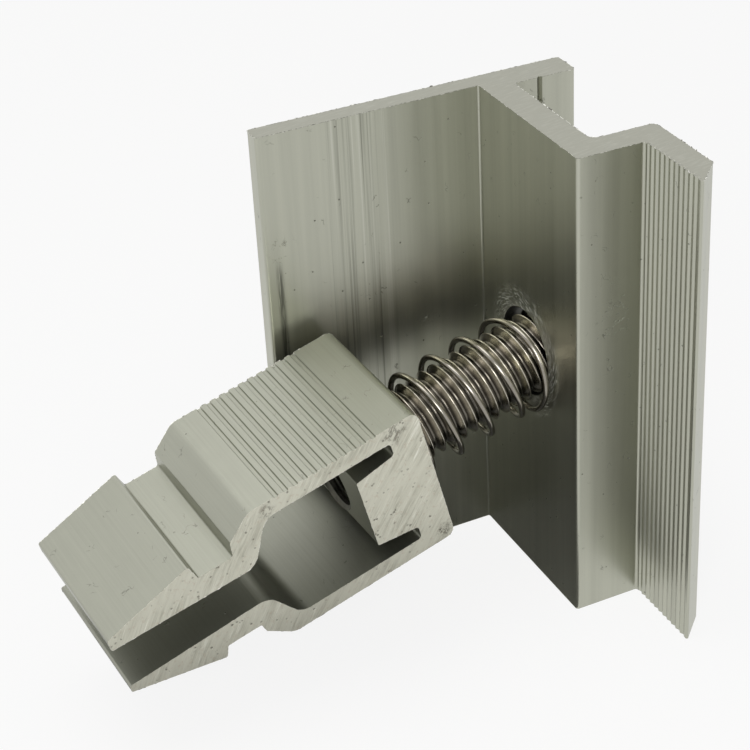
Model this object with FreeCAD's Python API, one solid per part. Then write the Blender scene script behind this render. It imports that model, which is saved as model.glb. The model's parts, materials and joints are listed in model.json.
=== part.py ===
"""Solar end clamp: an extruded clamp that holds the edge of a module frame down on a rail.

The clamp stands on one sawn end, with its extrusion running up +Z. In use +X is up: the foot of the
leg stands on the rail at the -X end, and the lip on the -Y side grips the frame. The screw, its spring
and the rail nut hang in the clamp's oversize hole, leaning until the screw stops on the hole's rims.
The origin is the corner where the leg's front plane meets the web's underside, on the sawn end.
"""
import FreeCAD, Part
import math
import os

V = FreeCAD.Vector

# Clamp extrusion
clamp_length = 50.0
frame_height = 30.0
grip_above_web = 7.0
leg_thickness = 2.05
web_thickness = 3.1
web_depth = 18.6
flange_thickness = 2.92
lip_thickness = 2.88
lip_reach = 9.45
lip_slant = 2.85
tab_height = 6.7
tab_step = 1.3
tab_score_width = 0.55
tab_score_depth = 0.25
tab_score_height = 2.8
grip_groove_count = 11
grip_groove_pitch = 0.787
grip_groove_width = 0.7
grip_groove_floor = 0.1
grip_groove_depth = 0.13
grip_first_groove = 0.63
leg_corner_radius = 0.2
channel_radius = 1.0
edge_radius = 0.3
lip_corner_radius = 0.7
lip_tip_radius = 0.15

# Screw: hexagon socket head cap screw, thread drawn at its crests
thread_diameter = 7.87
screw_length = 25.0
head_diameter = 13.0
head_height = 8.0
head_edge = 0.6
socket_across_flats = 6.0
socket_depth = 4.0
socket_cone_depth = 1.2
tip_chamfer = 0.8

# The hole in the web, and how the screw lies in it
hole_play = 1.13
rim_gap = 0.02
lean_direction = 12.5
seat_gap = 0.03

# Spring
wire_diameter = 0.6
spring_outside_diameter = 10.1
spring_length = 15.44
spring_turns = 5.75
closed_pitch = 0.66
seat_turns = 0.82
opening_turns = 0.4
flat_fade_turns = 0.9
spring_sag = 0.1
spring_start_turn = 1.09
spring_gap = 0.03
sections_per_turn = 16
wire_sides = 12

# Rail nut extrusion: stations run from its base, half heights from the middle of its body or of its jaws
nut_length = 16.0
nut_roll = 2.8
body_middle = 0.42
jaw_middle = 0.14
body_half_height = 8.0
arm_thickness = 1.72
shoulder_station = 17.9
neck_station = 20.6
neck_half_height = 4.62
neck_shoulder_height = 5.95
barb_station = 24.2
barb_half_height = 6.1
barb_back_slope = 0.45
tip_station = 33.75
tip_half_height = 3.47
jaw_half_gap = 2.1
jaw_flare = 0.35
jaw_bend_station = 19.0
jaw_bend_run = 2.3
block_depth = 7.56
block_half_height = 4.1
slot_bottom = 3.3
slot_root_half_height = 4.78
bore_play = 0.1
nut_groove_count = 11
nut_groove_pitch = 1.033
nut_groove_width = 0.5
nut_groove_floor = 0.32
nut_groove_depth = 0.16
nut_first_groove = 4.6
nut_corner_radius = 0.9
nut_edge_radius = 0.25
shoulder_radius = 1.5
jaw_bend_radius = 1.9
slot_end_radius = 0.45
block_edge_radius = 0.12


def rounded_wire(corners):
    """Closed outline through corners (x, y, radius), with a tangent arc where the radius isn't zero."""
    arcs = []
    for place, (x, y, radius) in enumerate(corners):
        corner = V(x, y, 0)
        to_last = V(*corners[place - 1][:2], 0).sub(corner)
        to_next = V(*corners[(place + 1) % len(corners)][:2], 0).sub(corner)
        to_last.normalize()
        to_next.normalize()
        half_angle = to_last.getAngle(to_next) / 2
        if radius == 0:
            arcs.append((corner, None, corner))
            continue
        inward = to_last.add(to_next)
        inward.normalize()
        setback = radius / math.tan(half_angle)
        middle = corner.add(inward * (radius / math.sin(half_angle) - radius))
        arcs.append((corner.add(to_last * setback), middle, corner.add(to_next * setback)))
    edges = []
    for place, (start, middle, end) in enumerate(arcs):
        last_end = arcs[place - 1][2]
        if last_end.distanceToPoint(start) > 1e-6:
            edges.append(Part.LineSegment(last_end, start).toShape())
        if middle is not None:
            edges.append(Part.Arc(start, middle, end).toShape())
    return Part.Wire(edges)


def groove_row(first, pitch, count, width, floor, surface, bottom):
    """Corners of a row of slope-sided grooves along a face: pairs of (place along the face, height)."""
    corners = []
    for number in range(count):
        middle = first + number * pitch
        corners.append((middle - width / 2, surface))
        corners.append((middle - floor / 2, bottom))
        corners.append((middle + floor / 2, bottom))
        corners.append((middle + width / 2, surface))
    return corners


# Where the sections of the clamp lie
foot = grip_above_web - frame_height
lip_top = grip_above_web + lip_thickness
lip_end = -(web_depth + lip_reach)
flange_inner = -(web_depth - flange_thickness)
tab_top = web_thickness + tab_height
score_place = web_thickness + tab_score_height
hole_y = (flange_inner - tab_step) / 2
hole_diameter = thread_diameter + hole_play
pivot = V(web_thickness / 2, hole_y, clamp_length / 2)


def make_clamp():
    """Leg, web, channel and lip in one extruded section, with the screw hole drilled through the web."""
    grip = groove_row(grip_first_groove, grip_groove_pitch, grip_groove_count, grip_groove_width,
                      grip_groove_floor, grip_above_web, grip_above_web + grip_groove_depth)
    corners = [
        (foot, 0, edge_radius),
        (0, 0, leg_corner_radius),
        (0, -web_depth, edge_radius),
        (grip_above_web, -web_depth, edge_radius),
    ]
    corners += [(height, -web_depth - along, 0) for along, height in grip]
    corners += [
        (grip_above_web, lip_end, lip_tip_radius),
        (lip_top, lip_end + lip_slant, edge_radius),
        (lip_top, flange_inner, lip_corner_radius),
        (web_thickness, flange_inner, channel_radius),
        (web_thickness, -tab_step, edge_radius),
        (score_place - tab_score_width / 2, -tab_step, 0),
        (score_place, -tab_step + tab_score_depth, 0),
        (score_place + tab_score_width / 2, -tab_step, 0),
        (tab_top, -tab_step, edge_radius),
        (tab_top, leg_thickness, edge_radius),
        (foot, leg_thickness, edge_radius),
    ]
    body = Part.Face(rounded_wire(corners)).extrude(V(0, 0, clamp_length))
    drill_start = pivot - V(web_thickness, 0, 0)
    return body.cut(Part.makeCylinder(hole_diameter / 2, 2 * web_thickness, drill_start, V(1, 0, 0)))


# The screw leans until it stops on the near rim of the hole below it and the far rim above it
rim_diagonal = math.hypot(hole_diameter, web_thickness)
rim_angle = math.atan2(web_thickness, hole_diameter)
lean = math.acos((thread_diameter + rim_gap) / rim_diagonal) - rim_angle
side = math.radians(lean_direction)
roll = math.radians(nut_roll)
axis = V(-math.cos(lean), -math.sin(lean) * math.sin(side), -math.sin(lean) * math.cos(side))
level = V(0, 0, 1).cross(axis * -1)
level.normalize()
upright = (axis * -1).cross(level)
across = level * math.cos(roll) + upright * math.sin(roll)
upward = upright * math.cos(roll) - level * math.sin(roll)

# Stations along the screw's axis, from where it leaves the underside of the web towards the nut
exit_point = pivot + axis * (web_thickness / 2 / math.cos(lean))
head_seat = -(web_thickness + seat_gap + head_diameter / 2 * math.sin(lean)) / math.cos(lean)
hang = FreeCAD.Placement(exit_point, FreeCAD.Rotation(axis, upward, across, "XYZ"))


def make_screw():
    """Cap screw turned about its axis, with a hexagon socket and its drilled cone in the head."""
    radius = thread_diameter / 2
    head_radius = head_diameter / 2
    head_top = head_seat - head_height
    tip = head_seat + screw_length
    outline = [
        V(head_top, 0, 0),
        V(head_top, head_radius - head_edge, 0),
        V(head_top + head_edge, head_radius, 0),
        V(head_seat, head_radius, 0),
        V(head_seat, radius, 0),
        V(tip - tip_chamfer, radius, 0),
        V(tip, radius - tip_chamfer, 0),
        V(tip, 0, 0),
        V(head_top, 0, 0),
    ]
    turned = Part.Face(Part.makePolygon(outline)).revolve(V(0, 0, 0), V(1, 0, 0), 360)
    corner_radius = socket_across_flats / math.sqrt(3)
    hexagon = []
    for corner in range(7):
        angle = math.radians(60 * corner)
        hexagon.append(V(head_top, corner_radius * math.cos(angle), corner_radius * math.sin(angle)))
    socket = Part.Face(Part.makePolygon(hexagon)).extrude(V(socket_depth, 0, 0))
    socket_end = V(head_top + socket_depth, 0, 0)
    cone = Part.makeCone(socket_across_flats / 2, 0, socket_cone_depth, socket_end, V(1, 0, 0))
    return turned.cut(socket).cut(cone)


def ramp(turns):
    """Turns of full opening done so far, where the opening grows evenly over opening_turns."""
    if turns <= 0:
        return 0.0
    if turns < opening_turns:
        return turns * turns / (2 * opening_turns)
    return turns - opening_turns / 2


def make_spring():
    """Compression spring with a closed end turn on the nut and most of one lying flat on the tilted web."""
    coil_radius = (spring_outside_diameter - wire_diameter) / 2
    seat = (wire_diameter / 2 + spring_gap) / math.cos(lean) + spring_sag * math.sin(lean)
    top = spring_length - wire_diameter / 2 - spring_gap
    closing_turn = spring_turns - 1 - opening_turns
    opening = (top - seat - closed_pitch * spring_turns) / (closing_turn - seat_turns)
    steps = round(spring_turns * sections_per_turn)
    points = []
    for step in range(steps + 1):
        turn = spring_turns * step / steps
        angle = 2 * math.pi * (turn + spring_start_turn)
        arm = upward * math.cos(angle) + across * math.sin(angle)
        rise = closed_pitch * turn + opening * (ramp(turn - seat_turns) - ramp(turn - closing_turn))
        flat = arm.x * coil_radius / math.cos(lean)
        fade = min(1.0, max(0.0, 1 - (turn - seat_turns) / flat_fade_turns))
        points.append(V(seat + rise + flat * fade * fade * (3 - 2 * fade),
                        coil_radius * math.cos(angle) - spring_sag,
                        coil_radius * math.sin(angle)))
    return mitred_tube(points, wire_diameter / 2)


def mitred_tube(points, radius):
    """Round wire along points, made of wire_sides narrow flats that run from mitre to mitre."""
    run = (points[1] - points[0]).normalize()
    outward = run.cross(V(1, 0, 0)).normalize()
    beside = run.cross(outward)
    ring = []
    for flat in range(wire_sides):
        angle = 2 * math.pi * flat / wire_sides
        ring.append(points[0] + outward * (radius * math.cos(angle)) + beside * (radius * math.sin(angle)))
    faces = [Part.Face(Part.makePolygon(ring + ring[:1]))]
    for place in range(1, len(points)):
        run = points[place] - points[place - 1]
        after = points[min(place + 1, len(points) - 1)] - points[place]
        mitre = run.normalize() + (after.normalize() if after.Length else run)
        next_ring = [p + run * ((points[place] - p).dot(mitre) / run.dot(mitre)) for p in ring]
        for flat in range(wire_sides):
            corners = [ring[flat - 1], ring[flat], next_ring[flat], next_ring[flat - 1]]
            faces.append(Part.Face(Part.makePolygon(corners + corners[:1])))
        ring = next_ring
    faces.append(Part.Face(Part.makePolygon(ring + ring[:1])))
    shell = Part.makeShell(faces)
    shell.sewShape()
    return Part.Solid(shell)


def arm_outline(side, back):
    """Half of the nut's section from the base round one arm to the block: side is 1 above, -1 below."""
    arm_inner = body_half_height - arm_thickness
    neck_foot = jaw_middle + side * neck_half_height
    jaw_root = jaw_middle + side * jaw_half_gap
    jaw_tip = jaw_root + side * jaw_flare

    def body(half_height):
        return body_middle + side * half_height

    corners = [(0, body(body_half_height), nut_corner_radius)]
    corners += [(station, body(half_height), 0) for station, half_height in back]
    corners += [
        (shoulder_station, body(body_half_height), shoulder_radius),
        (neck_station - barb_back_slope / 2, body(neck_shoulder_height), nut_edge_radius),
        (neck_station, neck_foot, nut_edge_radius),
        (barb_station, neck_foot, nut_edge_radius),
        (barb_station + barb_back_slope, body(barb_half_height), nut_edge_radius),
        (tip_station, body(tip_half_height), nut_edge_radius),
        (tip_station, jaw_tip, nut_edge_radius),
        (jaw_bend_station, jaw_root, jaw_bend_radius),
        (jaw_bend_station - jaw_bend_run, body(arm_inner), jaw_bend_radius),
        (slot_bottom, body(arm_inner), slot_end_radius),
        (slot_bottom, body(slot_root_half_height), slot_end_radius),
        (block_depth, body(block_half_height), block_edge_radius),
    ]
    return corners


def make_nut():
    """Click-in rail nut: a threaded block between two sprung arms, whose barbs snap into a rail slot."""
    base = spring_length
    ridges = groove_row(nut_first_groove, nut_groove_pitch, nut_groove_count, nut_groove_width,
                        nut_groove_floor, body_half_height, body_half_height - nut_groove_depth)
    corners = arm_outline(1, ridges) + arm_outline(-1, [])[::-1]
    outline = [(base + station, height, radius) for station, height, radius in corners]
    section = Part.Face(rounded_wire(outline))
    section.translate(V(0, 0, -nut_length / 2))
    body = section.extrude(V(0, 0, nut_length))
    bore_radius = (thread_diameter + bore_play) / 2
    drill_start = V(base - block_depth / 2, 0, 0)
    return body.cut(Part.makeCylinder(bore_radius, 2 * block_depth, drill_start, V(1, 0, 0)))


def hung(shape):
    """The shape moved from the screw's own frame to where the screw hangs in the clamp."""
    moved = shape.copy()
    moved.Placement = hang.multiply(moved.Placement)
    return moved


parts = {
    "end_clamp": make_clamp(),
    "clamp_screw": hung(make_screw()),
    "compression_spring": hung(make_spring()),
    "rail_nut": hung(make_nut()),
}

os.makedirs("parts", exist_ok=True)
for name, shape in parts.items():
    shape.exportStep("parts/" + name + ".step")
    box = shape.BoundBox
    print(name, shape.ShapeType, "valid", shape.isValid(), "solids", len(shape.Solids),
          "volume %.1f" % shape.Volume, "x %.2f..%.2f" % (box.XMin, box.XMax),
          "y %.2f..%.2f" % (box.YMin, box.YMax), "z %.2f..%.2f" % (box.ZMin, box.ZMax))
print("lean %.2f" % math.degrees(lean), "exit", exit_point, "axis", axis, "head seat %.3f" % head_seat)
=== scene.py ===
import json
import math
import random

import bmesh
import bpy
from mathutils import Matrix, Vector


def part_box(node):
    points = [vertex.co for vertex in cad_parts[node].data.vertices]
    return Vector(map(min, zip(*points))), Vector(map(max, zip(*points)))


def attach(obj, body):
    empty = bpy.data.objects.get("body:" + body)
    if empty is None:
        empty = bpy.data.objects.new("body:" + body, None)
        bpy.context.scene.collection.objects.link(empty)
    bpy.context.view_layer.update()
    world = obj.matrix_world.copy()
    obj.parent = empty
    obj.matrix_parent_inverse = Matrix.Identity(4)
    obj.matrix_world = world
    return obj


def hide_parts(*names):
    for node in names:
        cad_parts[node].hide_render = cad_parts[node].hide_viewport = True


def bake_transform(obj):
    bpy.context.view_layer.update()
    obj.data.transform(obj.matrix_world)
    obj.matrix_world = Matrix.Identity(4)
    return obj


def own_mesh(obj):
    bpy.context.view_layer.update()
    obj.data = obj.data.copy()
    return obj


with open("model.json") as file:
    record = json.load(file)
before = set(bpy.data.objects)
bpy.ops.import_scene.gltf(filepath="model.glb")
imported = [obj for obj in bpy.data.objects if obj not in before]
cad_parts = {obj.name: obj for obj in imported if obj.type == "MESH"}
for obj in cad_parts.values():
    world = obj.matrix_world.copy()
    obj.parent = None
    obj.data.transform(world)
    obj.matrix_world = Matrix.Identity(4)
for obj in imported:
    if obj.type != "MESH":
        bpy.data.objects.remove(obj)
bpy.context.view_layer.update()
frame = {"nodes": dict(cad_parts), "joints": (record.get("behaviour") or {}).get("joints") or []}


# End clamp
# An aluminium section with a leg, a web, a screw channel and a grooved lip, pressed through a die, which
# leaves fine lines along it, then sawn to length and drilled. The sawn ends keep a thin ragged burr.

mm = 0.001


class Field:
    """A shader socket. Arithmetic on it adds Math nodes, and node() adds any other kind of node."""

    def __init__(self, tree, socket=None):
        self.tree = tree
        self.socket = socket

    def node(self, kind, settings, inputs, output=0):
        """Adds a node: its settings first, and then the values or links of its sockets."""
        made = self.tree.nodes.new("ShaderNode" + kind)
        for name, value in settings.items():
            setattr(made, name, value)
        for name, value in inputs.items():
            if isinstance(value, Field):
                self.tree.links.new(value.socket, made.inputs[name])
            else:
                made.inputs[name].default_value = value
        return Field(self.tree, made.outputs[output])

    def math(self, operation, *values):
        """Adds a Math node on the values given, or on this value alone."""
        return self.node("Math", {"operation": operation}, dict(enumerate(values or (self,))))

    def __add__(self, other):
        return self.math("ADD", self, other)

    def __sub__(self, other):
        return self.math("SUBTRACT", self, other)

    def __rsub__(self, other):
        return self.math("SUBTRACT", other, self)

    def __mul__(self, other):
        return self.math("MULTIPLY", self, other)

    def __abs__(self):
        return self.math("ABSOLUTE", self)

    __radd__ = __add__
    __rmul__ = __mul__

    def below(self, limit, soft):
        """1 where the value is under the limit, 0 above it, with a soft step to each side of it."""
        step = {"From Min": limit - soft, "From Max": limit + soft, "To Min": 1.0, "To Max": 0.0}
        return self.node("MapRange", {"interpolation_type": "SMOOTHSTEP"}, {"Value": self, **step})

    def above(self, limit, soft):
        """0 where the value is under the limit, 1 above it, with the same soft step."""
        return 1 - self.below(limit, soft)

    def along(self, direction):
        """How far a place lies along a direction."""
        return self.node("VectorMath", {"operation": "DOT_PRODUCT"}, {0: self, 1: direction}, output=1)

    def noise(self, x, y, z, detail=2.0, roughness=0.55):
        """Noise from about 0 to 1, read at a place given by three values."""
        place = self.node("CombineXYZ", {}, {"X": x, "Y": y, "Z": z})
        return self.node("TexNoise", {}, {"Vector": place, "Scale": 1.0, "Detail": detail,
                                          "Roughness": roughness})

    def even_noise(self, cells_per_mm, detail):
        """Noise from about 0 to 1 at this place, as coarse in each direction."""
        return self.noise(self.along((cells_per_mm, 0, 0)), self.along((0, cells_per_mm, 0)),
                          self.along((0, 0, cells_per_mm)), detail=detail)

    def tint(self, factor, colour):
        """This colour, changed to another as far as factor says."""
        return self.node("Mix", {"data_type": "RGBA"}, {0: factor, 6: self, 7: colour}, output=2)


def tone(red, green, blue):
    """A colour as it shows on a screen, from 0 to 255, as the linear colour that a shader takes."""
    return tuple((level / 255) ** 2.2 for level in (red, green, blue)) + (1.0,)


def finish_of(name):
    """A new material with one Principled shader, and the field of places on the piece in millimetres."""
    material = bpy.data.materials.new(name)
    material.use_nodes = True
    tree = material.node_tree
    shader = tree.nodes["Principled BSDF"]
    place = Field(tree).node("TexCoord", {}, {}, output=3)
    place = place.node("VectorMath", {"operation": "SCALE"}, {0: place, "Scale": 1 / mm})
    return material, shader, place


def connect(shader, **sockets):
    """Feeds fields or plain values to a shader's sockets, with underscores for the blanks in their names."""
    for name, value in sockets.items():
        socket = shader.inputs[name.replace("_", " ")]
        if isinstance(value, Field):
            value.tree.links.new(value.socket, socket)
        else:
            socket.default_value = value


def pits_in(place, cells_per_mm, radius):
    """Small round specks, 1 inside a speck: few cells' points lie near enough to the surface to show."""
    cells = place.node("TexVoronoi", {}, {"Vector": place, "Scale": cells_per_mm})
    return cells.below(radius * cells_per_mm, 0.4 * radius * cells_per_mm)


def nicks_in(place, cells_per_mm, seldom):
    """Short winding scratches, 1 inside a scratch: thin contours of one noise where another is high."""
    moved = place.node("VectorMath", {"operation": "SCALE"}, {0: place, "Scale": cells_per_mm})
    winding = moved.node("TexNoise", {}, {"Vector": moved, "Scale": 1.0, "Detail": 2.0})
    where = moved.node("TexNoise", {}, {"Vector": moved, "Scale": 0.83, "Detail": 1.0})
    return abs(winding - 0.5).below(0.008, 0.006) * where.above(seldom, 0.02)


clamp = frame["nodes"]["end_clamp"]
clamp_low, clamp_high = (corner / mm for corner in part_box("end_clamp"))
clamp_length = clamp_high.z - clamp_low.z
hole = Vector(frame["joints"][0]["pos_m"]) / mm
hole_radius = 4.5
grip_face_x = 7.05
grooves_end_y = -18.9
first_groove_y = -19.23
groove_pitch = 0.787
streak_middle_x = -13.0
rub_x = -21.3
rub_top_z = 36.0
brushed_radius = 6.9
flange_knock = Vector((4.2, -18.7, 32.8))
leg_edge_knock = Vector((-21.2, 0.0, 38.0))

face_tone = tone(184, 185, 171)
cut_tone = tone(162, 162, 151)
dark_tone = tone(70, 71, 66)
bright_tone = tone(214, 214, 204)
bore_shade_tone = tone(36, 36, 33)


def die_lines(place, across, beside, grain):
    """Fine lines that the die left along the grain, as a signed value about 0."""
    return place.noise(across * 5.0, beside * 5.0, grain * 0.06, detail=3.0, roughness=0.7) - 0.5


def clamp_finish():
    """Satin aluminium with the marks of the die, the drill, the saw and of handling."""
    material, shader, place = finish_of("satin_extruded_aluminium")
    x = place.along((1, 0, 0))
    y = place.along((0, 1, 0))
    z = place.along((0, 0, 1))
    fine = die_lines(place, x, y, z)
    bands = place.noise(x * 0.7, y * 0.7, z * 0.015, detail=2.0) - 0.5
    sawn = abs(z - clamp_length / 2).above(clamp_length / 2 - 0.03, 0.01)
    leg_front = abs(y).below(0.2, 0.1)

    # A group of stronger streaks runs down the middle of the leg
    streak_zone = abs(x - streak_middle_x).below(3.2, 0.8) * leg_front
    streaks = (place.noise(x * 1.9, 4.0, z * 0.012, detail=3.0, roughness=0.65) - 0.5) * streak_zone

    # A dark rub mark near the leg's free edge
    rub = abs(x - rub_x + z * 0.01).below(0.3, 0.22) * z.below(rub_top_z, 1.5) * leg_front
    rub = rub * place.noise(x * 6.0, y, z * 0.25).above(0.42, 0.1)

    # The drill's burr was brushed off round the hole, which left short bright scratches
    out_y = y - hole.y
    out_z = z - hole.z
    radius = (out_y * out_y + out_z * out_z).math("SQRT")
    angle = out_y.math("ARCTAN2", out_z, out_y)
    uneven_radius = radius + 1.2 * place.noise(angle * 2.0, 0.0, 1.0)
    web_underside = abs(x).below(0.2, 0.1)
    brushed = radius.above(hole_radius, 0.1) * uneven_radius.below(brushed_radius, 0.9) * web_underside
    hairlines = place.noise(angle * 19.0 + radius * 9.0, radius * 1.3 - angle * 3.0, 3.0, detail=3.0)
    scratches = hairlines.above(0.565, 0.025) * brushed

    # Painted shade: the drilled wall of the hole is coloured near black, for the shade that falls inside the
    # hole
    drilled = radius.below(hole_radius + 0.03, 0.02)

    pits = pits_in(place, 0.62, 0.085)
    nicks = nicks_in(place, 0.8, 0.68)

    # Knocks on the flange and beside the leg's free edge left small groups of nicks
    for knock, reach in ((flange_knock, 2.2), (leg_edge_knock, 1.4)):
        away = place.node("VectorMath", {"operation": "DISTANCE"}, {0: place, 1: knock}, output=1)
        nicks = nicks + nicks_in(place, 1.1, 0.5) * away.below(reach, 0.6)

    saw_marks = place.noise(x * 0.5 + y * 0.2, y * 4.0 - x * 0.6, 0.0, detail=4.0, roughness=0.7) - 0.5
    colour = place.node("RGB", {}, {})
    colour.socket.default_value = face_tone
    colour = colour.tint((bands * 0.8 + fine * 0.3).below(-0.1, 0.5) * 0.3, dark_tone)
    colour = colour.tint((streaks + fine * 0.1 * streak_zone).below(-0.07, 0.07) * 0.5, dark_tone)
    colour = colour.tint(streaks.above(0.11, 0.06) * 0.35, bright_tone)
    colour = colour.tint(sawn, cut_tone)
    colour = colour.tint(sawn * saw_marks.above(0.08, 0.12) * 0.15, bright_tone)
    colour = colour.tint((pits + nicks * 0.7) * (1 - sawn) * 0.6, dark_tone)
    colour = colour.tint(rub * 0.75, dark_tone)
    colour = colour.tint(scratches * 0.7, bright_tone)
    colour = colour.tint(drilled * 0.85, bore_shade_tone)
    height = (fine * 0.0022 + streaks * 0.010) * (1 - sawn) + saw_marks * sawn * 0.008
    height = height + pits * -0.02 + nicks * -0.01 + scratches * 0.006

    # The die rounded the ridges between the lip's grooves
    grip_face = abs(x - grip_face_x).below(0.2, 0.04) * y.below(grooves_end_y, 0.05)
    ripple = ((y - first_groove_y) * (2 * math.pi / groove_pitch)).math("COSINE")
    height = height - ripple * grip_face * 0.042
    bump = height.node("Bump", {}, {"Strength": 1.0, "Distance": mm, "Height": height})
    rough = 0.34 + bands * 0.10 + sawn * 0.14 + pits * 0.2
    connect(shader, Base_Color=colour, Metallic=1 - scratches * 0.75, Roughness=rough, Normal=bump)
    return material


clamp.data.materials[0] = clamp_finish()


def sawn_rims(node, cut_normal, cut_distance):
    """Closed chains of (place, outward normal of the wall) round a sawn face, in millimetres."""
    mesh = bmesh.new()
    mesh.from_mesh(node.data)
    bmesh.ops.remove_doubles(mesh, verts=mesh.verts, dist=1e-7)
    mesh.normal_update()
    on_cut = {face for face in mesh.faces
              if face.normal.dot(cut_normal) > 0.99
              and abs(face.calc_center_median().dot(cut_normal) / mm - cut_distance) < 0.01}
    following = {}
    for face in on_cut:
        for loop in face.loops:
            wall = [other for other in loop.edge.link_faces if other not in on_cut]
            if wall:
                following[loop.vert.index] = (loop.link_loop_next.vert.index, loop.vert.co / mm,
                                              wall[0].normal.copy())
    chains = []
    while following:
        start = min(following)
        chain = []
        while start in following:
            start, place, normal = following.pop(start)
            chain.append((place, normal))
        chains.append(chain)
    mesh.free()
    return chains


def burr_strip(name, node, cuts, size, spacing, dice):
    """A thin ragged ridge of metal that the saw pushed over the rims of its cuts, as three-sided tubes."""
    sunk = 0.02
    foot = min(0.05, 0.5 * size)
    mesh = bmesh.new()
    for cut_normal, cut_distance in cuts:
        for chain in sawn_rims(node, cut_normal, cut_distance):
            rings = []
            for number, (place, normal) in enumerate(chain):
                next_place = chain[(number + 1) % len(chain)][0]
                steps = max(1, round((next_place - place).length / spacing))
                for step in range(steps):
                    base = place.lerp(next_place, step / steps)
                    height = size * (0.2 + 0.8 * dice.random() ** 5)
                    peak = base + normal * height * 0.6 + cut_normal * height * dice.uniform(-0.2, 0.5)
                    corners = (base - normal * foot - cut_normal * sunk, peak,
                               base - cut_normal * foot - normal * sunk)
                    rings.append([mesh.verts.new(corner * mm) for corner in corners])
            for number, ring in enumerate(rings):
                last = rings[number - 1]
                for corner in range(3):
                    mesh.faces.new((last[corner], ring[corner], ring[corner - 1], last[corner - 1]))
    bmesh.ops.recalc_face_normals(mesh, faces=mesh.faces)
    made = bpy.data.meshes.new(name)
    mesh.to_mesh(made)
    mesh.free()
    piece = bpy.data.objects.new(name, made)
    bpy.context.scene.collection.objects.link(piece)
    return piece


def burr_finish():
    """Freshly torn metal, bright in some places and dark in others."""
    material, shader, place = finish_of("torn_aluminium")
    dull = place.even_noise(3.0, detail=3.0).below(0.5, 0.04)
    colour = place.node("RGB", {}, {})
    colour.socket.default_value = tone(242, 241, 233)
    colour = colour.tint(dull * 0.9, tone(76, 73, 66))
    connect(shader, Base_Color=colour, Metallic=dull * 0.7 + 0.3, Roughness=0.35)
    return material


torn_aluminium = burr_finish()
clamp_burrs = burr_strip("clamp_burrs", clamp, [(Vector((0, 0, 1)), clamp_length)],
                         size=0.2, spacing=0.26, dice=random.Random(4))
clamp_burrs.data.materials.append(torn_aluminium)
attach(clamp_burrs, "clamp")


# Cap screw
# A stainless M8 hexagon socket head cap screw, 25 mm long, with a knurled head and a rolled thread. It
# leans through the clamp's oversize hole, with its head in the channel and its tip in the rail nut.

turn_joint = frame["joints"][1]
axis = Vector(turn_joint["axis"]).normalized()
exit_point = Vector(turn_joint["pos_m"])
nut_roll = math.radians(2.8)
level = Vector((0, 0, 1)).cross(-axis).normalized()
upright = (-axis).cross(level)
across = level * math.cos(nut_roll) + upright * math.sin(nut_roll)
upward = upright * math.cos(nut_roll) - level * math.sin(nut_roll)
hang = Matrix((axis, upward, across)).transposed().to_4x4()
hang.translation = exit_point

web_thickness = 3.1
lean = math.acos(-axis.x)
thread_pitch = 1.25
thread_radius = 3.935
root_radius = 3.23
root_share = 0.5625
head_radius = 6.5
head_height = 8.0
head_gap = 0.03
screw_length = 25.0
head_seat = -(web_thickness + head_gap + head_radius * math.sin(lean)) / math.cos(lean)
screw_tip = head_seat + screw_length
thread_phase = 0.95
segments = 96


def hung_piece(name, mesh, smooth_angle=40):
    """A piece from a mesh in the screw's own frame, in millimetres: along the screw, upward, across."""
    bmesh.ops.recalc_face_normals(mesh, faces=mesh.faces)
    for face in mesh.faces:
        face.smooth = True
    for edge in mesh.edges:
        if len(edge.link_faces) == 2:
            edge.smooth = edge.calc_face_angle() < math.radians(smooth_angle)
    made = bpy.data.meshes.new(name)
    mesh.to_mesh(made)
    mesh.free()
    made.transform(hang @ Matrix.Scale(mm, 4))
    piece = bpy.data.objects.new(name, made)
    bpy.context.scene.collection.objects.link(piece)
    return piece


def helix_skin(mesh, profile, start, end, reach):
    """A thread's surface from start to end. Profile gives one pitch as (share of the pitch, radius), and
    reach gives the radius that is left at a station."""
    turns_before = 2
    turns = turns_before + math.ceil((end - start) / thread_pitch) + 1
    count = len(profile)
    rows = []
    for row in range(turns * count):
        share, radius = profile[row % count]
        ring = []
        for column in range(segments):
            turn = column / segments
            station = start + thread_pitch * (row // count - turns_before + share + turn + thread_phase)
            station = min(max(station, start), end)
            angle = 2 * math.pi * turn
            size = reach(station, radius)
            ring.append(mesh.verts.new((station, size * math.cos(angle), size * math.sin(angle))))
        rows.append(ring)
    for row in range(len(rows) - 1):
        for column in range(segments):
            if column < segments - 1:
                ahead, below = (row, column + 1), (row + 1, column + 1)
            elif row + 1 + count < len(rows):
                ahead, below = (row + count, 0), (row + 1 + count, 0)
            else:
                continue
            mesh.faces.new((rows[row][column], rows[ahead[0]][ahead[1]],
                            rows[below[0]][below[1]], rows[row + 1][column]))
    bmesh.ops.remove_doubles(mesh, verts=mesh.verts, dist=1e-5)
    bmesh.ops.dissolve_degenerate(mesh, edges=mesh.edges, dist=1e-5)


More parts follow.
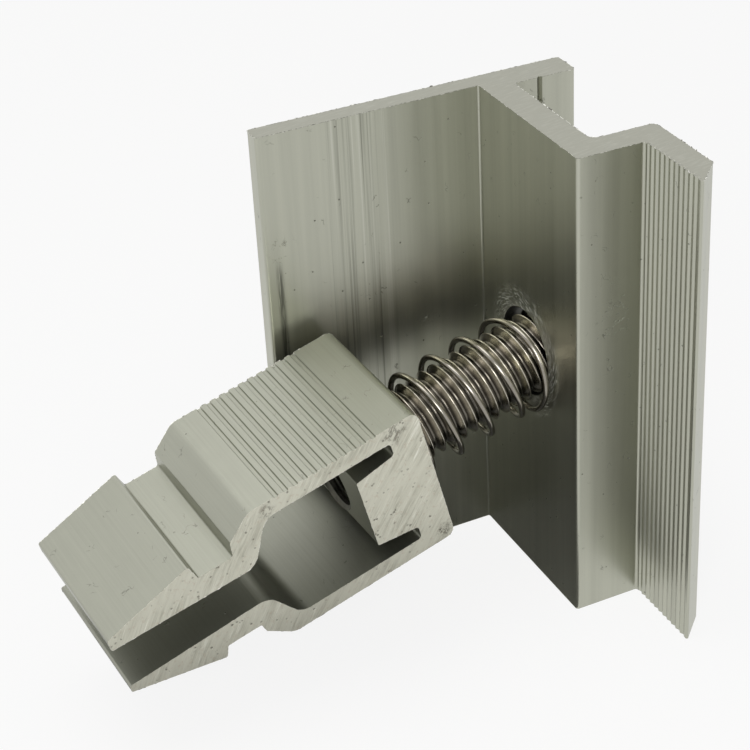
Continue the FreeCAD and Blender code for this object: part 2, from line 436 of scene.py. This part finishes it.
def make_cap_screw():
    """The screw as one skin: thread, underside and side of the head, and hexagon socket."""
    thread = [(0.0, 3.89), (0.03, 3.925), (0.0625, thread_radius), (0.095, 3.925), (0.125, 3.89),
              (0.16, 3.79), (0.42, 3.30), (0.46, 3.25), (0.51, 3.215), (root_share, 3.205),
              (0.615, 3.215), (0.665, 3.25), (0.705, 3.30), (0.965, 3.79)]
    runout = 1.6
    chamfer = 0.8
    knurl = 0.1
    hexagon_radius = 3.0
    hexagon_depth = 4.0
    drill_tip_depth = 5.2
    mouth_radius = 3.75

    def reach(station, radius):
        """The profile's radius, faded into the shank at the head and cut by the tip's chamfer."""
        fade = min(1.0, max(0.0, (head_seat + runout - station) / (runout - 0.4)))
        radius = radius + (thread_radius - 0.1 - radius) * fade
        return min(radius, thread_radius - 0.02 - chamfer + (screw_tip - station))

    mesh = bmesh.new()
    helix_skin(mesh, thread, head_seat, screw_tip, reach)

    def ring(station, radius, ridge=0.0, hexagon=0.0):
        """A ring of corners: round, with every second one lower by a ridge, or on a hexagon."""
        places = []
        for column in range(segments):
            angle = 2 * math.pi * column / segments
            size = radius - (ridge if column % 2 else 0.0)
            if hexagon:
                off_middle = (angle + math.pi / 6) % (math.pi / 3) - math.pi / 6
                size = hexagon / math.cos(off_middle)
            places.append(mesh.verts.new((station, size * math.cos(angle), size * math.sin(angle))))
        return places

    top = head_seat - head_height
    rings = [
        ring(head_seat, thread_radius - 0.1),
        ring(head_seat, head_radius - 0.25),
        ring(head_seat - 0.2, head_radius - 0.05),
        ring(head_seat - 0.9, head_radius - 0.05),
        ring(head_seat - 1.1, head_radius, knurl),
        ring(top + 1.2, head_radius, knurl),
        ring(top + 0.6, head_radius - 0.12),
        ring(top + 0.15, head_radius - 0.5),
        ring(top, head_radius - 0.75),
        ring(top, mouth_radius),
        ring(top + 0.3, 0.0, hexagon=hexagon_radius + 0.02),
        ring(top + hexagon_depth, 0.0, hexagon=hexagon_radius),
        ring(top + hexagon_depth, hexagon_radius - 0.05),
    ]
    point = mesh.verts.new((top + drill_tip_depth, 0, 0))
    for first, second in zip(rings, rings[1:]):
        for column in range(segments):
            mesh.faces.new((first[column - 1], first[column], second[column], second[column - 1]))
    for column in range(segments):
        mesh.faces.new((rings[-1][column - 1], rings[-1][column], point))
    bmesh.ops.remove_doubles(mesh, verts=mesh.verts, dist=1e-5)
    bmesh.ops.holes_fill(mesh, edges=[edge for edge in mesh.edges if edge.is_boundary])
    return hung_piece("cap_screw", mesh, 35)


def steel_finish(name, colour, rough, wear):
    """Stainless steel with marks from the tools and from handling, and painted shade in the roots of its
    thread.
    """
    material, shader, place = finish_of(name)
    from_exit = place.node("VectorMath", {"operation": "SUBTRACT"}, {0: place, 1: exit_point / mm})
    off_axis = from_exit.node("VectorMath", {"operation": "CROSS_PRODUCT"}, {0: from_exit, 1: axis})
    radius = off_axis.node("VectorMath", {"operation": "LENGTH"}, {0: off_axis}, output=1)
    spot = place.even_noise(1.3, detail=4.0)
    grit = place.even_noise(14.0, detail=2.0)
    worn_and_shaded = place.node("RGB", {}, {})
    worn_and_shaded.socket.default_value = colour
    worn_and_shaded = worn_and_shaded.tint(spot.below(0.5, 0.16) * 0.35, tone(128, 120, 106))
    # Painted shade: the roots of the thread, near the screw's axis, are darkened
    worn_and_shaded = worn_and_shaded.tint(radius.below(3.52, 0.22) * 0.8, tone(58, 55, 49))
    worn_and_shaded = worn_and_shaded.tint(grit.above(0.68, 0.05) * 0.35, tone(225, 222, 212))
    height = (grit - 0.5) * wear
    bump = height.node("Bump", {}, {"Strength": 1.0, "Distance": mm, "Height": height})
    connect(shader, Base_Color=worn_and_shaded, Metallic=1.0, Roughness=rough + spot * 0.07, Normal=bump)
    return material


cap_screw = make_cap_screw()
cap_screw.data.materials.append(
    steel_finish("rolled_stainless", tone(198, 193, 181), rough=0.13, wear=0.006))
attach(cap_screw, "screw")
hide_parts("clamp_screw")


# Compression spring
# Stainless spring wire in about six turns, closed at each end. Its first turn lies flat on the web and stays
# there as the screw tilts; the turns above it lean with the screw.

wire_radius = 0.3
coil_radius = 4.75
spring_length = 15.44
spring_turns = 5.63
closed_pitch = 0.66
seat_turns = 0.43
opening_turns = 0.4
flat_fade_turns = 0.6
seat_aside = 0.45
lift_off_turn = 0.91
spring_sag = 0.1
spring_start_turn = 1.21
spring_gap = 0.03


def opened(turns):
    """Turns of full opening done so far, where the opening grows evenly over opening_turns."""
    if turns <= 0:
        return 0.0
    if turns < opening_turns:
        return turns * turns / (2 * opening_turns)
    return turns - opening_turns / 2


def spring_point(turn):
    """The middle of the wire at a turn: station along the screw, upward, across."""
    seat = (wire_radius + spring_gap) / math.cos(lean) + spring_sag * math.sin(lean)
    top = spring_length - wire_radius - spring_gap
    closing_turn = spring_turns - 1 - opening_turns
    opening = (top - seat - closed_pitch * spring_turns) / (closing_turn - seat_turns)
    angle = 2 * math.pi * (turn + spring_start_turn)
    arm = upward * math.cos(angle) + across * math.sin(angle)
    rise = closed_pitch * turn + opening * (opened(turn - seat_turns) - opened(turn - closing_turn))
    fade = min(1.0, max(0.0, 1 - (turn - seat_turns) / flat_fade_turns))
    fade = fade * fade * (3 - 2 * fade)
    flat = arm.x * coil_radius / math.cos(lean) * fade
    return Vector((seat + rise + flat, coil_radius * math.cos(angle) - spring_sag,
                   coil_radius * math.sin(angle) - seat_aside * fade))


def make_wire(name, first_turn, last_turn, sections, sides):
    """A stretch of the spring's wire. Where it ends in one of the spring's cut ends, that is rounded off."""
    rounding = (0.55, 0.85, 0.97)
    step_turns = (last_turn - first_turn) / sections
    mesh = bmesh.new()
    rings = []
    for step in range(sections + 1):
        turn = first_turn + step * step_turns
        point = spring_point(turn)
        run = (spring_point(turn + step_turns) - spring_point(turn - step_turns)).normalized()
        outward = run.cross(Vector((1, 0, 0))).normalized()
        beside = run.cross(outward)
        from_cut = round(min(turn, spring_turns - turn) / step_turns)
        size = wire_radius * (rounding[from_cut] if from_cut < len(rounding) else 1.0)
        ring = []
        for side in range(sides):
            angle = 2 * math.pi * side / sides
            ring.append(mesh.verts.new(point + outward * (size * math.cos(angle))
                                       + beside * (size * math.sin(angle))))
        rings.append(ring)
    for first, second in zip(rings, rings[1:]):
        for side in range(sides):
            mesh.faces.new((first[side - 1], first[side], second[side], second[side - 1]))
    mesh.faces.new(rings[0])
    mesh.faces.new(rings[-1])
    return hung_piece(name, mesh, 50)


wire_finish = steel_finish("drawn_spring_wire", tone(146, 142, 133), rough=0.09, wear=0.003)
spring_seat = make_wire("spring_seat", 0.0, lift_off_turn, sections=68, sides=20)
spring_seat.data.materials.append(wire_finish)
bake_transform(spring_seat)

lift_off = spring_point(lift_off_turn)
spring_wire = make_wire("spring_wire", lift_off_turn, spring_turns, sections=352, sides=20)
spring_wire.data.materials.append(wire_finish)
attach(spring_wire, "spring")
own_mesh(spring_wire)
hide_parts("compression_spring")


# Rail nut
# A second aluminium section, sawn to 16 mm and tapped through its block. Its two arms spring together to
# click into the rail. The coarse saw left diagonal marks, torn specks and a ragged burr on the cut faces.

nut = frame["nodes"]["rail_nut"]
nut_length = 16.0
block_depth = 7.56
nut_middle = exit_point.dot(across) / mm
jaw_station = 35.0
arm_inside = 6.4
jaw_inside = 3.5
nut_tone = tone(168, 169, 156)
nut_cut_tone = tone(208, 207, 192)
stroke_tone = tone(142, 140, 124)
glint_tone = tone(240, 239, 228)
torn_tone = tone(182, 164, 144)
speck_tone = tone(92, 88, 78)
bruise_tone = tone(88, 83, 74)


def nut_finish():
    """Satin aluminium on the pressed faces, and coarse diagonal saw strokes on the two cut ones."""
    material, shader, place = finish_of("satin_and_sawn_aluminium")
    from_exit = place.node("VectorMath", {"operation": "SUBTRACT"}, {0: place, 1: exit_point / mm})
    station = from_exit.along(axis)
    height = from_exit.along(upward)
    grain = from_exit.along(across)
    fine = die_lines(place, station, height, grain)
    sawn = abs(grain).above(nut_length / 2 - 0.03, 0.01)
    cloud = place.noise(station * 0.35, height * 0.35, grain * 0.35, detail=3.0) - 0.5

    # Saw teeth ran across the section from the tip up to the base, in slightly bent strokes
    bend = (station - 26.0) * (station - 26.0) * 0.004
    over = station * 0.72 + height * 0.69 + bend
    stroke = height * 0.72 - station * 0.69
    teeth = place.noise(over * 1.5, stroke * 0.13, grain, detail=5.0, roughness=0.72) - 0.5
    hair = place.noise(over * 8.0, stroke * 0.5, grain, detail=3.0) - 0.5
    torn = place.noise(station * 1.7, height * 1.7, grain, detail=5.0, roughness=0.75)
    deep = place.noise(station * 0.28 + 4.0, height * 0.28, grain, detail=2.0).above(0.5, 0.12)
    ragged = place.noise(station * 0.9, height * 0.9, grain, detail=3.0).above(0.58, 0.05)
    specks = pits_in(place, 1.9, 0.12) * ragged
    pits = pits_in(place, 0.42, 0.085)
    nicks = nicks_in(place, 0.7, 0.67)

    # Bruises near three corners of the cut faces, each a distance from the base, a height and a size
    bruise = 0.0
    for from_base, bruise_height, size in ((2.6, 7.6, 1.3), (0.9, -6.6, 0.9), (16.3, 7.4, 0.8)):
        far = abs(station - spring_length - from_base) + abs(height - bruise_height)
        bruise = bruise + far.below(size, 0.6 * size)
    bruise = bruise * (torn - 0.5 + hair * 0.5).above(0.02, 0.06) * sawn

    # Painted shade: the faces between the arms are darkened, where shade falls in the gap
    inside = arm_inside - station.above(jaw_station, 1.5) * (arm_inside - jaw_inside)
    between = abs(height).below(inside, 0.1) * (1 - sawn)

    colour = place.node("RGB", {}, {})
    colour.socket.default_value = nut_tone
    colour = colour.tint((fine * 0.7 + cloud * 0.2).below(-0.06, 0.3) * 0.14, dark_tone)
    colour = colour.tint(between * 0.24, dark_tone)
    colour = colour.tint((pits + nicks * 0.7) * (1 - sawn) * 0.6, dark_tone)
    colour = colour.tint(sawn, nut_cut_tone)
    strokes = sawn * (teeth + hair * 0.5).below(-0.06, 0.13)
    colour = colour.tint(strokes * (deep * 0.35 + 0.12), stroke_tone)
    colour = colour.tint(sawn * torn.above(0.60, 0.06) * 0.35, torn_tone)
    glints = sawn * (teeth + hair * 0.4).above(0.13, 0.07)
    colour = colour.tint(glints * (deep * 0.6 + 0.15), glint_tone)
    colour = colour.tint(sawn * specks * 0.6, speck_tone)
    colour = colour.tint(bruise * 0.6, bruise_tone)
    relief = (teeth * 0.05 + hair * 0.016) * (deep * 0.8 + 0.2) * sawn + fine * (1 - sawn) * 0.0016
    relief = relief - specks * sawn * 0.03 - pits * 0.02 - bruise * 0.03 - nicks * 0.008
    bump = relief.node("Bump", {}, {"Strength": 1.0, "Distance": mm, "Height": relief})
    rough = 0.40 + cloud * 0.04 + sawn * 0.08
    connect(shader, Base_Color=colour, Metallic=1.0, Roughness=rough, Normal=bump)
    return material


nut.data.materials[0] = nut_finish()
nut_burrs = burr_strip("nut_burrs", nut,
                       [(-across, nut_length / 2 - nut_middle), (across, nut_length / 2 + nut_middle)],
                       size=0.08, spacing=0.27, dice=random.Random(9))
nut_burrs.data.materials.append(torn_aluminium)
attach(nut_burrs, "nut")


def make_bore_thread(sides):
    """The ridge of the tapped thread, wound on the bore's wall so that it lies in the screw's grooves."""
    play = 0.035
    bore_radius = 3.985
    crest_radius = 3.36
    rooted = 0.04
    lead_in = 0.45
    fade_turns = 0.35
    half_root = 0.156
    flank_slope = math.tan(math.radians(30))
    start = spring_length + lead_in
    end = spring_length + block_depth - lead_in
    groove_share = root_share + thread_phase
    first_turn = math.ceil((start - head_seat) / thread_pitch - groove_share)
    half_crest = half_root + (crest_radius - root_radius) * flank_slope - play
    half_foot = half_root + (bore_radius - root_radius) * flank_slope - play
    turns = (end - start) / thread_pitch - 0.5
    steps = round(turns * sides)
    mesh = bmesh.new()
    rings = []
    for step in range(steps + 1):
        turn = step / sides
        station = head_seat + thread_pitch * (first_turn + groove_share + turn)
        angle = 2 * math.pi * turn
        grown = 0.04 + 0.96 * min(1.0, turn / fade_turns, (steps - step) / sides / fade_turns)
        crest = bore_radius - (bore_radius - crest_radius) * grown
        foot = bore_radius + rooted
        section = ((-half_foot, foot), (-half_crest, crest), (half_crest, crest), (half_foot, foot))
        rings.append([mesh.verts.new((station + shift * grown, radius * math.cos(angle),
                                      radius * math.sin(angle))) for shift, radius in section])
    for first, second in zip(rings, rings[1:]):
        for corner in range(4):
            mesh.faces.new((first[corner - 1], first[corner], second[corner], second[corner - 1]))
    mesh.faces.new(rings[0])
    mesh.faces.new(rings[-1])
    return hung_piece("bore_thread", mesh, 30)


def tapped_finish():
    """Cut aluminium, painted dark for the shade inside the nut's bore."""
    material, shader, place = finish_of("tapped_aluminium_painted_shade")
    smear = place.even_noise(1.6, detail=3.0)
    colour = place.node("RGB", {}, {})
    # Painted shade: the thread's colour is dark for the shade in the bore
    colour.socket.default_value = tone(84, 83, 76)
    colour = colour.tint(smear.above(0.5, 0.12) * 0.5, tone(112, 110, 100))
    connect(shader, Base_Color=colour, Metallic=1.0, Roughness=smear * 0.2 + 0.3)
    return material


bore_thread = make_bore_thread(sides=64)
bore_thread.data.materials.append(tapped_finish())
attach(bore_thread, "nut")


# Studio
# A pale floor with a dark card of painted shade for the metal to mirror, a white surround, and soft lamps
# from above and from the front. The camera stands where the photograph was taken from.

white = (1.0, 1.0, 1.0, 1.0)
floor_tone = (0.82, 0.82, 0.81, 1.0)
card_shade_tone = (0.17, 0.17, 0.165, 1.0)


def glow_and_shade(tree, glow, shade, share):
    """Mixes a white glow into a shader for the rays that look at the surround or see it mirrored."""
    seen = Field(tree).node("LightPath", {}, {}, output="Is Camera Ray")
    kinds = seen.socket.node.outputs
    for kind in ("Is Glossy Ray", "Is Transmission Ray"):
        seen = seen.math("MAXIMUM", seen, Field(tree, kinds[kind]))
    return seen.node("MixShader", {}, {0: seen * share, 1: shade, 2: glow})


def make_floor():
    """A wide pale floor that glows to the camera and still takes soft shadows."""
    bpy.ops.mesh.primitive_plane_add(size=6.0, location=(0, 0, 0))
    floor = bpy.context.object
    floor.name = "floor"
    material = bpy.data.materials.new("pale_floor")
    material.use_nodes = True
    tree = material.node_tree
    tree.nodes.clear()
    start = Field(tree)
    shade = start.node("BsdfDiffuse", {}, {"Color": floor_tone})
    glow = start.node("Emission", {}, {"Color": white, "Strength": 1.0})
    surface = glow_and_shade(tree, glow, shade, 0.85)
    output = tree.nodes.new("ShaderNodeOutputMaterial")
    tree.links.new(surface.socket, output.inputs["Surface"])
    floor.data.materials.append(material)


def make_shade_card():
    """A dark card, flat on the floor in front of the part, that only mirrored light sees: painted shade."""
    card_length = 0.052
    card_width = 0.0285
    card_middle = (-card_length / 2, -0.013, 0.00005)
    bpy.ops.mesh.primitive_plane_add(size=1.0, location=card_middle)
    card = bpy.context.object
    card.name = "shade_card"
    card.scale = (card_length, card_width, 1.0)
    material = bpy.data.materials.new("painted_shade_card")
    material.use_nodes = True
    connect(material.node_tree.nodes["Principled BSDF"], Base_Color=card_shade_tone, Roughness=0.9)
    card.data.materials.append(material)
    card.visible_camera = False
    card.visible_diffuse = False
    card.visible_shadow = False


def make_surround(diffuse_level):
    """A world that looks white, and mirrors white, but lights dull surfaces only as far as diffuse_level."""
    world = bpy.data.worlds.new("surround")
    bpy.context.scene.world = world
    world.use_nodes = True
    tree = world.node_tree
    tree.nodes.clear()
    start = Field(tree)
    glow = start.node("Background", {}, {"Color": white, "Strength": 1.0})
    soft = start.node("Background", {}, {"Color": white, "Strength": diffuse_level})
    surface = glow_and_shade(tree, glow, soft, 1.0)
    output = tree.nodes.new("ShaderNodeOutputWorld")
    tree.links.new(surface.socket, output.inputs["Surface"])


def soft_lamp(name, place, target, size, watts):
    """A square lamp that faces the target, out of the camera's sight."""
    light = bpy.data.lights.new(name, "AREA")
    light.shape = "RECTANGLE"
    light.size = size
    light.size_y = size
    light.energy = watts
    lamp_object = bpy.data.objects.new(name, light)
    lamp_object.location = place
    lamp_object.rotation_euler = (Vector(target) - Vector(place)).to_track_quat("-Z", "Y").to_euler()
    bpy.context.scene.collection.objects.link(lamp_object)
    lamp_object.visible_camera = False


make_floor()
make_shade_card()
make_surround(diffuse_level=0.45)
object_middle = (-0.015, -0.01, 0.02)
soft_lamp("overhead", (-0.10, 0.05, 0.45), object_middle, size=0.30, watts=0.55)
soft_lamp("front", (-0.25, -0.42, 0.28), object_middle, size=0.25, watts=1.25)

camera_place = Vector((-83.37, -161.97, 130.52)) * mm
camera_look = Vector((0.37957, 0.77585, -0.50397))
camera_up = Vector((0.253, 0.43693, 0.86318))
camera_data = bpy.data.cameras.new("camera")
camera_data.lens = 100.0
camera_data.sensor_width = 36.0
camera_data.shift_x = -0.0973
camera_data.shift_y = -0.0725
camera_data.clip_start = 0.01
camera = bpy.data.objects.new("camera", camera_data)
camera_right = camera_look.cross(camera_up)
camera.matrix_world = (Matrix.Translation(camera_place)
                       @ Matrix((camera_right, camera_up, -camera_look)).transposed().to_4x4())
bpy.context.scene.collection.objects.link(camera)
bpy.context.scene.camera = camera
bpy.context.scene.view_settings.view_transform = "Standard"
